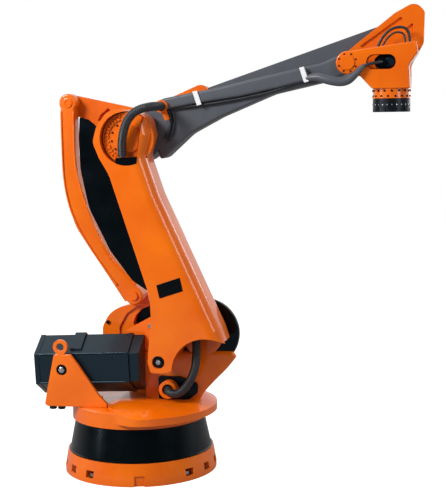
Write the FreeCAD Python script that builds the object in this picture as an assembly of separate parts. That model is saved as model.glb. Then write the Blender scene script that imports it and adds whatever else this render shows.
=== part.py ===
"""Floor-mounted palletising robot arm with two parallel-link rods.

Millimetres, +Z up, +X the way the arm reaches, -Y the side with the hose.
The origin is the centre of the base's underside, on the slewing axis.
Each function at the end of its section returns the named solids of one moving body.
"""
import FreeCAD
import Part
import math
import os

V = FreeCAD.Vector

# ---------------------------------------------------------------- driving dimensions

# Linkage: axes of the shoulder, the links and the levers
SHOULDER_X = 425.0
SHOULDER_Z = 850.0
LINK_LENGTH = 1245.0
LINK_LEAN = 18.2            # degrees back from upright
FOREARM_LENGTH = 1330.0
FOREARM_RISE = 18.2         # degrees up from level
REAR_ARM = 500.0            # elbow axis to the rear rod's pin
REAR_ARM_ANGLE = 154.7      # degrees from +X towards +Z
FRONT_ARM = 440.0           # elbow axis to the front rod's pin
FRONT_ARM_ANGLE = 35.3
TOOL_REACH = 245.0          # wrist axis to the tool axis

# Layers across the arm, from the near side to the far side
LINK_NEAR = -330.0
LINK_FAR = -95.0
GUARD_THICK = 8.0
COLUMN_NEAR = -80.0
COLUMN_FAR = 190.0
FOREARM_HALF = 78.0
ROD_NEAR = 0.0
ROD_THICK = 80.0
LEVER_NEAR = 88.0
LEVER_THICK = 36.0
FRONT_ROD_NEAR = 130.0
FRONT_ROD_THICK = 46.0

# Fits
RUNNING_FIT = 0.05          # radial, on every turning shaft
CLEAR = 6.0                 # between pieces that move past each other

# Base
BASE_R = 467.0
BASE_LIP = 28.0
BASE_H = 133.0
BASE_TOP_R = 449.0
BASE_WALL = 34.0
FLOOR_PLATE = 30.0
FLOOR_HOLE_R = 13.0
FLOOR_PCD = 860.0
FLOOR_HOLES = 18
COVER_FOOT_R = 436.0
COVER_TOP_R = 398.0
COVER_TOP = 322.0
COVER_WALL = 10.0
PEDESTAL_R = 320.0
SLEW_SHAFT_R = 180.0

# Turntable and column
SKIRT_R = 415.0
SKIRT_BOTTOM = 330.0
TABLE_R = 477.0
TABLE_BOTTOM = 362.0
RIM_TOP = 405.0
DECK_R = 400.0
TABLE_TOP = 447.0
LOW_DECK = 428.0            # step down under the motor
COLUMN_REAR = 60.0
SHELF_Z = 743.0
GEAR_R = 212.0
GEAR_THICK = 32.0
HUB_R = 100.0

# Drive motor, a six-sided housing lying along X
MOTOR_LENGTH = 590.0
MOTOR_SIDE = 183.0
MOTOR_Y = -90.0
MOTOR_Z = 656.0           # at the middle of its length
MOTOR_TILT = 2.3            # degrees, front end higher

# Hoses
HOSE_R = 26.0


# ---------------------------------------------------------------- shape helpers

def polar(centre, radius, degrees):
    angle = math.radians(degrees)
    return (centre[0] + radius * math.cos(angle), centre[1] + radius * math.sin(angle))


SHOULDER = (SHOULDER_X, SHOULDER_Z)
ELBOW = polar(SHOULDER, LINK_LENGTH, 90 + LINK_LEAN)
WRIST = polar(ELBOW, FOREARM_LENGTH, FOREARM_RISE)
LEVER_REAR = polar(ELBOW, REAR_ARM, REAR_ARM_ANGLE)
LEVER_FRONT = polar(ELBOW, FRONT_ARM, FRONT_ARM_ANGLE)
COLUMN_PIN = polar(SHOULDER, REAR_ARM, REAR_ARM_ANGLE)
PLATE_PIN = polar(WRIST, FRONT_ARM, FRONT_ARM_ANGLE)
TOOL_X = WRIST[0] + TOOL_REACH


def rounded_wire(corners):
    """Closed wire in the XZ plane through corners (x, z, corner radius)."""
    points = [V(c[0], 0, c[1]) for c in corners]
    radii = [c[2] if len(c) > 2 else 0.0 for c in corners]
    count = len(points)
    edges = []
    starts = []
    ends = []
    mids = []
    for i in range(count):
        here = points[i]
        back = (points[i - 1] - here).normalize()
        ahead = (points[(i + 1) % count] - here).normalize()
        half = back.getAngle(ahead) / 2
        if radii[i] <= 0 or half > math.radians(89.7):
            starts.append(here)
            ends.append(here)
            mids.append(None)
            continue
        reach = radii[i] / math.tan(half)
        inward = (back + ahead).normalize()
        starts.append(here + back * reach)
        ends.append(here + ahead * reach)
        mids.append(here + inward * (radii[i] / math.sin(half) - radii[i]))
    for i in range(count):
        if mids[i] is not None:
            edges.append(Part.Arc(starts[i], mids[i], ends[i]).toShape())
        following = starts[(i + 1) % count]
        if (following - ends[i]).Length > 1e-6:
            edges.append(Part.LineSegment(ends[i], following).toShape())
    return Part.Wire(edges)


def plate(corners, y_near, y_far):
    """Plate of a rounded XZ outline between two Y planes."""
    face = Part.Face(rounded_wire(corners))
    solid = face.extrude(V(0, y_far - y_near, 0))
    solid.translate(V(0, y_near, 0))
    return solid


def softened(solid, radius, y_plane, keep=None):
    """Round the edges that lie in one Y plane; keep(x, z) picks some of them by their middle."""
    chosen = []
    for edge in solid.Edges:
        bounds = edge.BoundBox
        middle = edge.valueAt((edge.FirstParameter + edge.LastParameter) / 2)
        flat = abs(bounds.YMin - y_plane) < 0.01 and abs(bounds.YMax - y_plane) < 0.01
        if flat and (keep is None or keep(middle.x, middle.z)):
            chosen.append(edge)
    return solid.makeFillet(radius, chosen)


def disc(centre, radius, y_near, y_far):
    """Round bar along Y about a point of the XZ plane."""
    return Part.makeCylinder(radius, y_far - y_near, V(centre[0], y_near, centre[1]), V(0, 1, 0))


def ring(centre, outer, inner, y_near, y_far):
    return disc(centre, outer, y_near, y_far).cut(disc(centre, inner, y_near - 1, y_far + 1))


def drum(radius, z_low, z_high, x=0.0, y=0.0):
    """Round bar along Z."""
    return Part.makeCylinder(radius, z_high - z_low, V(x, y, z_low), V(0, 0, 1))


def box(x_low, x_high, y_low, y_high, z_low, z_high):
    return Part.makeBox(x_high - x_low, y_high - y_low, z_high - z_low, V(x_low, y_low, z_low))


def turned(profile):
    """Solid of revolution about Z of (radius, z) corners."""
    points = [V(r, 0, z) for r, z in profile]
    face = Part.Face(Part.makePolygon(points + [points[0]]))
    return face.revolve(V(0, 0, 0), V(0, 0, 1), 360)


def tapered_hull(centre_a, radius_a, centre_b, radius_b, y_near, y_far):
    """Bar with two round ends joined by their common tangents."""
    dx = centre_b[0] - centre_a[0]
    dz = centre_b[1] - centre_a[1]
    heading = math.degrees(math.atan2(dz, dx))
    spread = math.degrees(math.acos((radius_a - radius_b) / math.hypot(dx, dz)))
    a_up = polar(centre_a, radius_a, heading + spread)
    a_down = polar(centre_a, radius_a, heading - spread)
    b_up = polar(centre_b, radius_b, heading + spread)
    b_down = polar(centre_b, radius_b, heading - spread)
    a_end = polar(centre_a, radius_a, heading + 180)
    b_end = polar(centre_b, radius_b, heading)
    flat = [V(p[0], y_near, p[1]) for p in (a_up, a_end, a_down, b_down, b_end, b_up)]
    wire = Part.Wire([Part.Arc(flat[0], flat[1], flat[2]).toShape(),
                      Part.LineSegment(flat[2], flat[3]).toShape(),
                      Part.Arc(flat[3], flat[4], flat[5]).toShape(),
                      Part.LineSegment(flat[5], flat[0]).toShape()])
    return Part.Face(wire).extrude(V(0, y_far - y_near, 0))


def placed(shape, origin, degrees):
    """Turn a shape drawn at the origin up towards +Z and move it to a point of the XZ plane."""
    moved = shape.copy()
    moved.rotate(V(0, 0, 0), V(0, 1, 0), -degrees)
    moved.translate(V(origin[0], 0, origin[1]))
    return moved


def on_link(shape):
    """From the link arm's own frame, +Z from shoulder to elbow, to its place."""
    return placed(shape, SHOULDER, LINK_LEAN)


def on_forearm(shape):
    """From the forearm's own frame, +X from elbow to wrist, to its place."""
    return placed(shape, ELBOW, FOREARM_RISE)


def hose(points, radius):
    """Round hose along straight runs joined by tangent arcs as large as the runs allow."""
    route = [V(*p) for p in points]
    edges = []
    radii = []
    last = route[0]
    for i in range(1, len(route) - 1):
        back = route[i - 1] - route[i]
        ahead = route[i + 1] - route[i]
        run = min(back.Length, ahead.Length)
        back.normalize()
        ahead.normalize()
        half = back.getAngle(ahead) / 2
        reach = 0.45 * run
        bend = reach * math.tan(half)
        radii.append(round(bend))
        inward = (back + ahead).normalize()
        start = route[i] + back * reach
        end = route[i] + ahead * reach
        middle = route[i] + inward * (bend / math.sin(half) - bend)
        edges.append(Part.LineSegment(last, start).toShape())
        edges.append(Part.Arc(start, middle, end).toShape())
        last = end
    edges.append(Part.LineSegment(last, route[-1]).toShape())
    path = Part.Wire(edges)
    circle = Part.makeCircle(radius, route[0], route[1] - route[0])
    tube = path.makePipeShell([Part.Wire([circle])], True, False)
    ideal = math.pi * radius ** 2 * path.Length
    print("hose radii", radii, "length", round(path.Length), "volume ratio", round(tube.Volume / ideal, 4))
    return tube


# ---------------------------------------------------------------- base

BOLT_START = -137.0         # degrees from +X to the first floor hole
CLOSED_HOLES = (2, 3, 4)    # at the front, where the wall has no pocket
NICHE_R = 30.0
NICHE_TOP = 74.0


def floor_hole_angles():
    step = 360.0 / FLOOR_HOLES
    return [BOLT_START + step * i for i in range(FLOOR_HOLES)]


def niche(angle):
    """Pocket in the foot ring's wall that opens outwards over one floor bolt."""
    x, y = polar((0, 0), FLOOR_PCD / 2, angle)
    well = drum(NICHE_R, FLOOR_PLATE, NICHE_TOP, x, y)
    mouth = box(FLOOR_PCD / 2, BASE_R + 10, -NICHE_R, NICHE_R, FLOOR_PLATE, NICHE_TOP)
    mouth.rotate(V(0, 0, 0), V(0, 0, 1), angle)
    return well.fuse(mouth)


def base_flange():
    """Cast foot ring: floor plate, sloped outer wall, pockets over the outer bolts."""
    foot = turned([(PEDESTAL_R, 0), (BASE_R, 0), (BASE_R, BASE_LIP), (BASE_TOP_R, BASE_H),
                   (BASE_TOP_R - BASE_WALL, BASE_H), (BASE_TOP_R - BASE_WALL, FLOOR_PLATE),
                   (PEDESTAL_R, FLOOR_PLATE)])
    for i, angle in enumerate(floor_hole_angles()):
        x, y = polar((0, 0), FLOOR_PCD / 2, angle)
        foot = foot.cut(drum(FLOOR_HOLE_R, -1, FLOOR_PLATE, x, y))
        if i not in CLOSED_HOLES:
            foot = foot.cut(niche(angle))
    notch = box(BASE_R - 14, BASE_R + 10, -30, 30, -1, 62)
    notch.rotate(V(0, 0, 0), V(0, 0, 1), BOLT_START + 60)
    return foot.cut(notch)


def base_parts():
    cover = turned([(COVER_FOOT_R, BASE_H), (COVER_TOP_R, COVER_TOP), (COVER_TOP_R - COVER_WALL, COVER_TOP),
                    (COVER_FOOT_R - COVER_WALL, BASE_H)])
    pedestal = turned([(SLEW_SHAFT_R, 0), (PEDESTAL_R, 0), (PEDESTAL_R, SKIRT_BOTTOM - CLEAR),
                       (SLEW_SHAFT_R, SKIRT_BOTTOM - CLEAR)])
    return {"base_flange": base_flange(), "base_cover": cover, "base_pedestal": pedestal}


# ---------------------------------------------------------------- column

RIDGE_START = (303.0, -114.8)   # radius and angle where the ridge leaves the bracket
RIDGE_END = (482.0, -71.0)      # where it runs off the rim
RIDGE_STEPS = 14


def ridge_line():
    """Edge of the raised deck, curving from the motor bracket out to the rim."""
    points = []
    for i in range(RIDGE_STEPS + 1):
        share = i / RIDGE_STEPS
        radius = RIDGE_START[0] + (RIDGE_END[0] - RIDGE_START[0]) * math.sin(share * math.pi / 2)
        angle = RIDGE_START[1] + (RIDGE_END[1] - RIDGE_START[1]) * share
        points.append(polar((0, 0), radius, angle))
    return points


def turntable():
    skirt = turned([(0, SKIRT_BOTTOM), (SKIRT_R, SKIRT_BOTTOM), (SKIRT_R, LOW_DECK - 8), (DECK_R, LOW_DECK),
                    (0, LOW_DECK)])
    rim = turned([(0, TABLE_BOTTOM), (TABLE_R, TABLE_BOTTOM), (TABLE_R, RIM_TOP), (DECK_R, TABLE_TOP),
                  (0, TABLE_TOP)])
    ridge = [(-127, 600)] + ridge_line() + [(150, -600), (-600, -600), (-600, 600)]
    cut = Part.Face(Part.makePolygon([V(x, y, TABLE_BOTTOM - 1) for x, y in ridge + ridge[:1]]))
    rim = rim.cut(cut.extrude(V(0, 0, TABLE_TOP - TABLE_BOTTOM + 2)))
    shaft = drum(SLEW_SHAFT_R - RUNNING_FIT, 60, SKIRT_BOTTOM)
    return skirt.fuse(rim).fuse(shaft).removeSplitter()


CHEEK = 30.0                # thickness of the column's near cheek
GEAR_NEAR = COLUMN_NEAR + CHEEK
GEAR_FAR = GEAR_NEAR + GEAR_THICK


def column_casting():
    cheek = plate([(COLUMN_REAR, TABLE_TOP), (396, TABLE_TOP), (423, 493, 60), (481, 556, 200),
                   (561, 636, 200), (607, 692, 30), (622, 714, 10), (602, SHELF_Z, 10), (COLUMN_REAR, SHELF_Z)],
                  COLUMN_NEAR, GEAR_NEAR)
    cheek = softened(cheek, 22, COLUMN_NEAR, lambda x, z: x > 400 and TABLE_TOP < z < SHELF_Z - 5)
    body = plate([(COLUMN_REAR, TABLE_TOP), (325, TABLE_TOP), (365, 520, 60), (490, 650, 100), (530, 700, 20),
                  (530, SHELF_Z), (COLUMN_REAR, SHELF_Z)], GEAR_NEAR, COLUMN_FAR)
    upper = plate([(COLUMN_REAR, SHELF_Z - 1), (550, SHELF_Z - 1), (550, SHELF_Z + 40, 20),
                   (150, 960, 60), (COLUMN_REAR, 900, 40)], GEAR_FAR, COLUMN_FAR)
    head = disc(SHOULDER, HEAD_SEAT_R, GEAR_FAR, COLUMN_FAR)
    over_motor = MOTOR_Z + MOTOR_SIDE + 3 * CLEAR
    strip = plate([(COLUMN_REAR, SHELF_Z - 1), (COLUMN_REAR, over_motor), (-60, over_motor, 3),
                   (-56, over_motor + 8, 3), (110, 955, 12), (215, 960, 12), (215, SHELF_Z - 1)],
                  COLUMN_NEAR, GEAR_NEAR)
    bridge = plate([(COLUMN_REAR, SHELF_Z - 1), (COLUMN_REAR, 880, 10), (150, 930, 10), (180, SHELF_Z - 1)],
                   GEAR_NEAR - 20, COLUMN_FAR)
    casting = cheek.fuse(body).fuse(upper).fuse(head).fuse(strip).fuse(bridge)
    casting = casting.cut(disc(SHOULDER, HUB_R + CLEAR, COLUMN_NEAR - 1, GEAR_FAR + 8))
    return casting.cut(disc(SHOULDER, GEAR_R + 1, GEAR_NEAR, GEAR_FAR)).removeSplitter()


HEAD_SEAT_R = 150.0
HORN_NEAR = 108.0
HORN_PIN_R = 26.0
HORN_FACE = 14.0            # depth of the ear's sunk face inside its rim


def rear_horn():
    """Round rear ear of the column that carries the rear rod's lower pin."""
    ear = plate([(-259, SHELF_Z), (-262, 850, 90), (-205, 955, 160), (-60, 1000, 250), (COLUMN_REAR, 1000),
                 (COLUMN_REAR, SHELF_Z)], HORN_NEAR, COLUMN_FAR)
    sunk = plate([(-150, SHELF_Z - 1), (-152, 850, 60), (-105, 935, 80), (-30, 985, 60),
                  (COLUMN_REAR + 1, 992),
                  (COLUMN_REAR + 1, SHELF_Z - 1)], HORN_NEAR - 1, HORN_NEAR + HORN_FACE)
    window = plate([(-82, 835, 20), (-50, 920, 50), (-8, 965, 30), (52, 986, 10), (54, 905, 10)],
                   HORN_NEAR - 1, COLUMN_FAR + 1)
    neck = tapered_hull((-10, 960), 62, COLUMN_PIN, 55, HORN_NEAR + HORN_FACE, COLUMN_FAR)
    boss = disc(COLUMN_PIN, 55, HORN_NEAR - 20, COLUMN_FAR)
    pin = disc(COLUMN_PIN, HORN_PIN_R, ROD_NEAR - 14, HORN_NEAR)
    return ear.cut(sunk).fuse(neck).cut(window).fuse(boss).fuse(pin).removeSplitter()


def shoulder_gear():
    return ring(SHOULDER, GEAR_R, HUB_R, GEAR_NEAR, GEAR_FAR)


def hexagon_bar(side, x_low, x_high):
    """Six-sided bar along the motor's axis with upright near and far flats."""
    points = []
    for i in range(6):
        py, pz = polar((MOTOR_Y, MOTOR_Z), side, 30 + 60 * i)
        points.append(V(x_low, py, pz))
    return Part.Face(Part.makePolygon(points + [points[0]])).extrude(V(x_high - x_low, 0, 0))


def tilted(shape):
    """Tilt a motor piece about the middle of the motor's length."""
    moved = shape.copy()
    moved.rotate(V(-MOTOR_LENGTH / 2, MOTOR_Y, MOTOR_Z), V(0, 1, 0), -MOTOR_TILT)
    return moved


MOTOR_CAP = 30.0
MOTOR_INSET = 4.0           # housing smaller than its end caps, on the side of the hexagon
TIE_R = 7.0
BAND = (-367.0, -298.0)


def tie_rods(radius):
    """Four slim rods from cap to cap along the housing's near corners."""
    rods = None
    for angle in (150, 210, 330, 30):
        py, pz = polar((MOTOR_Y, MOTOR_Z), MOTOR_SIDE - TIE_R, angle)
        start = V(MOTOR_CAP - MOTOR_LENGTH, py, pz)
        rod = Part.makeCylinder(radius, MOTOR_LENGTH - 2 * MOTOR_CAP, start, V(1, 0, 0))
        rods = rod if rods is None else rods.fuse(rod)
    return rods


def motor_parts():
    rear = -MOTOR_LENGTH
    side = MOTOR_SIDE - MOTOR_INSET
    rods = tie_rods(TIE_R)
    seats = tie_rods(TIE_R + RUNNING_FIT)
    body = hexagon_bar(side, rear + MOTOR_CAP, -MOTOR_CAP).cut(seats)
    rear_cap = hexagon_bar(MOTOR_SIDE, rear, rear + MOTOR_CAP)
    front_cap = hexagon_bar(MOTOR_SIDE, -MOTOR_CAP, 0)
    adapter = tilted(hexagon_bar(MOTOR_SIDE - 12, 0, COLUMN_REAR + 60))
    adapter = adapter.common(box(-100, COLUMN_REAR, -400, 400, TABLE_TOP, 1000))
    band = hexagon_bar(side + 14, BAND[0], BAND[1])
    band = band.cut(hexagon_bar(side, BAND[0] - 1, BAND[1] + 1)).cut(seats)
    keep = box(BAND[0] - 50, BAND[1] + 50, MOTOR_Y - 130, MOTOR_Y + 300, 500, 1000)
    return {"motor_housing": tilted(body), "motor_rear_cap": tilted(rear_cap),
            "motor_front_cap": tilted(front_cap),
            "motor_adapter": adapter, "motor_band": tilted(band.common(keep)), "motor_tie_rods": tilted(rods)}


BRACKET_NEAR = -292.0
BRACKET_THICK = 28.0
BRACKET_BOLT = (-406.0, 652.0)
EYE = (-413.0, 790.0)
EYE_FOOT = 745.0
EYE_R = 45.0


def motor_bracket():
    far = BRACKET_NEAR + BRACKET_THICK
    side = plate([(-518, LOW_DECK + 12, 14), (-506, 500, 200), (-453, EYE_FOOT, 12), (-350, EYE_FOOT, 12),
                  (-300, 680, 150), (-181, 504, 120), (-129, TABLE_TOP + 5), (-129, LOW_DECK),
                  (-500, LOW_DECK, 12)],
                 BRACKET_NEAR, far)
    side = softened(side, 5, BRACKET_NEAR)
    side = side.cut(disc(BRACKET_BOLT, 33, BRACKET_NEAR - 1, BRACKET_NEAR + 14))
    foot = box(-490, -200, BRACKET_NEAR + 5, -130, LOW_DECK, LOW_DECK + 36)
    return side.fuse(foot).removeSplitter()


PORT = (212.0, 515.0)
PORT_R = 55.0
PORT_BORE = 34.0
PORT_NEAR = -150.0
TRAY_THICK = 20.0


def hose_port():
    return ring(PORT, PORT_R, PORT_BORE, PORT_NEAR, COLUMN_NEAR)


def cable_tray():
    tray = plate([(144, 590, 20), (276, 588, 40), (386, 549, 20), (386, 490, 30), (330, TABLE_TOP, 5),
                  (144, TABLE_TOP, 5)], COLUMN_NEAR - TRAY_THICK, COLUMN_NEAR)
    return tray.cut(disc(PORT, PORT_R, COLUMN_NEAR - TRAY_THICK - 1, COLUMN_NEAR + 1))


def column_parts():
    parts = {"turntable": turntable(), "column_casting": column_casting(), "rear_horn": rear_horn(),
             "shoulder_gear": shoulder_gear(), "motor_bracket": motor_bracket(), "hose_port": hose_port(),
             "cable_tray": cable_tray()}
    parts.update(motor_parts())
    parts["horn_cover"] = plate([(-110, 810, 20), (-90, 935, 40), (-20, 995, 30), (58, 998), (58, 810)],
                                COLUMN_FAR, COLUMN_FAR + GUARD_THICK)
    parts["gear_cover"] = disc(SHOULDER, HEAD_SEAT_R - 20, COLUMN_FAR, COLUMN_FAR + 40)
    parts["slew_motor"] = drum(95, TABLE_TOP, TABLE_TOP + 258, -60, 310)
    near_flat = MOTOR_Y - (MOTOR_SIDE - MOTOR_INSET) * math.cos(math.pi / 6)
    bolt = disc(BRACKET_BOLT, 17, BRACKET_NEAR, BRACKET_NEAR + 14)
    block = disc(BRACKET_BOLT, 40, BRACKET_NEAR + BRACKET_THICK, near_flat)
    parts["bracket_bolt"] = bolt
    parts["bracket_spacer"] = block
    eye = ring(EYE, EYE_R, 23, BRACKET_NEAR + 4, BRACKET_NEAR + 24)
    stem = box(EYE[0] - 26, EYE[0] + 26, BRACKET_NEAR + 4, BRACKET_NEAR + 24, EYE_FOOT, EYE[1] - 34)
    below = box(EYE[0] - EYE_R, EYE[0] + EYE_R, BRACKET_NEAR, 0, EYE_FOOT - 20, EYE_FOOT)
    parts["lifting_eye"] = eye.fuse(stem).cut(below).removeSplitter()
    return parts


# ---------------------------------------------------------------- link arm

LINK_WALL = 26.0
LUG = (-252.0, -54.0)
LUG_R = 66.0
ARCH = (-5.0, -195.0)
ARCH_R = 200.0
HEAD_FOOT_R = 125.0         # far wall round the shoulder hub
RECESS_R = 157.0
RECESS_DEPTH = 90.0


def link_outline():
    """Outline of the arm from the shoulder to the head round the elbow, fuller on the rear side."""
    return [(-320, -100, 20), (-300, 0, 60), (-212, 190, 300), (-172, 330, 300), (-166, 1080, 200),
            (-190, 1190, 60), (-196, 1290, 70), (-140, 1372, 90), (-40, 1438, 90), (60, 1398),
            (150, 1328, 70), (138, 1215, 60), (66, 1112, 90), (66, 880, 400), (125, 330, 500), (158, 20, 80),
            (152, -260)]


def elbow_rib(depth, gap=0.0):
    """Band of the near wall that runs up the head's front side, beside the recess."""
    return plate([(-10 - gap, 1040), (38 - gap, 1148, 60), (78 - gap, 1225, 100), (112 - gap, 1292, 20),
                  (150 - gap, 1360), (300, 1360), (300, 1040)], LINK_NEAR - 1, LINK_NEAR + depth)


def link_casting():
    body = plate(link_outline(), LINK_NEAR, LINK_FAR)
    body = softened(body, FRONT_EDGE_R, LINK_NEAR, lambda v, u: v > 0 and u < 1300)
    body = softened(body, 25, LINK_FAR, lambda v, u: v > 0 and u < 1300)
    body = body.fuse(softened(disc(LUG, LUG_R, LINK_NEAR, LINK_NEAR + 60), 8, LINK_NEAR))
    arch = disc(ARCH, ARCH_R, LINK_NEAR - 1, LINK_FAR + 1)
    corner = plate([(-330, -300), (-330, LUG[1] - 10), (LUG[0], LUG[1] - 10), (ARCH[0], -60), (200, -60),
                    (200, -300)],
                   LINK_NEAR + 60, LINK_FAR + 1)
    foot = box(-400, 300, LINK_NEAR - 1, LINK_FAR + 1, -300, -125)
    body = body.cut(arch).cut(corner).cut(foot)
    hollow = plate([(-230, -150), (-150, 250, 60), (-130, 1040, 30), (34, 1040, 30), (90, 300, 60),
                    (120, -150)],
                   LINK_NEAR + LINK_WALL, LINK_FAR - LINK_WALL)
    hollow = softened(hollow, FRONT_EDGE_R - LINK_WALL, LINK_NEAR + LINK_WALL, lambda v, u: v > 40 and 0 < u < 1030)
    body = body.cut(hollow)
    recess = disc((0, LINK_LENGTH), RECESS_R, LINK_NEAR - 1, LINK_NEAR + RECESS_DEPTH)
    body = body.cut(recess.cut(elbow_rib(RECESS_DEPTH - 30)))
    body = body.fuse(disc((0, 0), HEAD_FOOT_R, LINK_FAR - LINK_WALL, LINK_FAR))
    body = body.cut(disc(LUG, 38, LINK_NEAR - 1, LINK_NEAR + 61))
    return on_link(body.removeSplitter())


FRONT_EDGE_R = 84.0         # large round along the arm's front edge
SOCKET = (-61.0, 1136.0)    # foot of the elbow hose in the recess
GUARD = [(-120, 300), (-248, 361, 20), (-310, 440, 80), (-381, 652, 300), (-420, 940, 300), (-392, 1178, 300),
         (-337, 1360, 200), (-290, 1476, 10), (-240, 1440, 20), (-200, 1370, 10), (-120, 1310)]


def elbow_gear():
    """Gear cover sunk in the elbow head, with a raised hub and two arcs of screws."""
    near = LINK_NEAR + 45
    rib = elbow_rib(RECESS_DEPTH - 30, 12)
    body = disc((0, LINK_LENGTH), RECESS_R - CLEAR, near, LINK_NEAR + RECESS_DEPTH).cut(rib)
    body = body.fuse(disc((0, LINK_LENGTH), 82, near - 12, near + 1).cut(rib))
    for start in (98, 188):
        for i in range(7):
            spot = polar((0, LINK_LENGTH), 122, start + 9 * i)
            body = body.fuse(disc(spot, 8, near - 9, near + 1))
    return body


def hose_socket():
    """Black sleeve at the foot of the recess where the hose comes out of the arm."""
    block = plate([(-100, 1160, 10), (-108, 1112, 10), (26, 1082, 10), (34, 1122, 10)], LINK_NEAR + 2, LINK_NEAR + 33)
    block = block.cut(elbow_rib(RECESS_DEPTH, 1))
    return block.common(disc((0, LINK_LENGTH), RECESS_R - 0.5, LINK_NEAR, LINK_NEAR + 40))


def link_parts():
    hub = disc((0, 0), HUB_R - RUNNING_FIT, LINK_FAR, GEAR_FAR)
    shaft = disc((0, LINK_LENGTH), 60 - RUNNING_FIT, LINK_FAR, LEVER_NEAR + LEVER_THICK + 10)
    guard = plate(GUARD, LINK_FAR, LINK_FAR + GUARD_THICK)
    bolt = disc(LUG, 37.9, LINK_NEAR + 20, LINK_NEAR + 60).fuse(disc(LUG, 20, LINK_NEAR + 6, LINK_NEAR + 21))
    plaque = plate([(-118, 302, 4), (30, 302, 4), (38, 382, 4), (-110, 382, 4)], LINK_NEAR - 3, LINK_NEAR)
    return {"link_casting": link_casting(), "shoulder_hub": on_link(hub), "elbow_gear": on_link(elbow_gear()),
            "elbow_shaft": on_link(shaft), "rear_guard": on_link(guard), "lug_bolt": on_link(bolt),
            "arm_plaque": on_link(plaque), "hose_socket": on_link(hose_socket())}


# ---------------------------------------------------------------- rear rod

def rear_rod():
    """Bowed rod from the column's rear pin to the lever."""
    far = ROD_NEAR + ROD_THICK
    bow = plate([(-85, 1025), (-150, 1125, 300), (-390, 1490, 300), (-458, 1730, 400), (-464, 2000, 400),
                 (-464, 2246), (-372, 2246), (-374, 1930, 200), (-360, 1802, 300), (-290, 1555, 300),
                 (-175, 1306, 300), (28, 1085)], ROD_NEAR, far)
    body = softened(bow, 16, ROD_NEAR, lambda x, z: 1100 < z < 2240)
    body = body.fuse(softened(disc(COLUMN_PIN, 57, ROD_NEAR, far), 12, ROD_NEAR))
    body = body.fuse(softened(disc(LEVER_REAR, 55, ROD_NEAR, far), 12, ROD_NEAR))
    body = body.cut(disc(COLUMN_PIN, HORN_PIN_R + RUNNING_FIT, ROD_NEAR - 1, far + 1))
    return body.fuse(disc(LEVER_REAR, 24, far, LEVER_NEAR + LEVER_THICK + 8)).removeSplitter()


# ---------------------------------------------------------------- elbow lever

def elbow_lever():
    far = LEVER_NEAR + LEVER_THICK
    rear = tapered_hull(ELBOW, 105, LEVER_REAR, 50, LEVER_NEAR, far)
    crown = plate([(LEVER_REAR[0] + 11, LEVER_REAR[1] + 48), (-59, 2219, 300), (120, 2175, 60), ELBOW, LEVER_REAR],
                  LEVER_NEAR, far)
    front = tapered_hull(ELBOW, 150, LEVER_FRONT, 55, LEVER_NEAR, far)
    body = rear.fuse(crown).fuse(front)
    slot = plate([(-255, 2128, 5), (-222, 2142, 10), (-168, 2196, 5), (-186, 2212, 5), (-238, 2168, 20)],
                 LEVER_NEAR - 1, LEVER_NEAR + LEVER_THICK - 10)
    body = body.cut(slot).cut(disc(ELBOW, 60, LEVER_NEAR - 1, far + 1))
    body = body.cut(disc(LEVER_REAR, 30, LEVER_NEAR - 1, far + 1))
    body = body.fuse(disc(LEVER_FRONT, 26, far, FRONT_ROD_NEAR + FRONT_ROD_THICK + 10))
    return body.removeSplitter()


# ---------------------------------------------------------------- forearm

SLEEVE_THICK = 40.0


def forearm_parts():
    half = FOREARM_HALF
    hub = ring((0, 0), 150, 60, -half, half)
    web = plate([(95, -168, 10), (128, -166, 15), (243, -116, 100), (311, -85, 200), (520, -50, 300), (860, -26, 300),
                 (1180, -60, 60), (1330, -60, 10), (1330, 60, 10), (1180, 50, 60), (820, 92, 300), (580, 117, 200),
                 (243, 165, 60), (100, 160, 10)], -half, half)
    web = softened(web, 14, -half, lambda x, z: 130 < x < 1320)
    web = web.cut(disc((0, 0), 150 + RUNNING_FIT, -half - 1, half + 1))
    end = disc((FOREARM_LENGTH, 0), 60, -half, half)
    web = web.fuse(end).cut(disc((FOREARM_LENGTH, 0), 35, -half - 1, half + 1))
    sleeve = plate([(190, 160, 8), (243, 163, 20), (335, 150, 100), (578, 115, 200), (821, 90, 200), (1090, 58, 10),
                    (1100, -20, 5), (913, -5, 100), (672, 24, 200), (434, 67, 200), (196, 102, 8)],
                   -half - SLEEVE_THICK, -half)
    sleeve = softened(sleeve, 15, -half - SLEEVE_THICK)
    ties = None
    for x, top, low in ((434, 142, 56), (1074, 64, -26)):
        tie = plate([(x - 14, low, 3), (x + 14, low - 3, 3), (x + 14, top - 3, 3), (x - 14, top, 3)],
                    -half - SLEEVE_THICK - 8, -half - SLEEVE_THICK)
        ties = tie if ties is None else ties.fuse(tie)
    return {"forearm_hub": on_forearm(hub), "forearm_beam": on_forearm(web.removeSplitter()),
            "cable_sleeve": on_forearm(sleeve), "sleeve_ties": on_forearm(ties)}


# ---------------------------------------------------------------- front rod

def front_rod():
    near = FRONT_ROD_NEAR
    far = near + FRONT_ROD_THICK
    body = tapered_hull((60, -22), 46, (FOREARM_LENGTH - 60, -22), 46, near, far)
    body = body.fuse(disc((0, 0), 52, near, far)).fuse(disc((FOREARM_LENGTH, 0), 50, near, far))
    body = body.cut(disc((0, 0), 26 + RUNNING_FIT, near - 1, far + 1))
    body = body.cut(disc((FOREARM_LENGTH, 0), 30, near - 1, far + 1))
    return placed(body.removeSplitter(), LEVER_FRONT, FOREARM_RISE)


# ---------------------------------------------------------------- wrist

WRIST_NEAR = -112.0


WRIST_CHEEK = 28.0
WINDOW_DEPTH = 70.0
FLANGE_R = 108.0
FLANGE_FACE = 2163.0
FLANGE_TOP = 2241.0
FLANGE_PCD = 160.0
FLANGE_HOLES = 12
FLANGE_HOLE_R = 5.0
PILOT_R = 50.0
COLLAR_TOP = 2300.0


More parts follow.
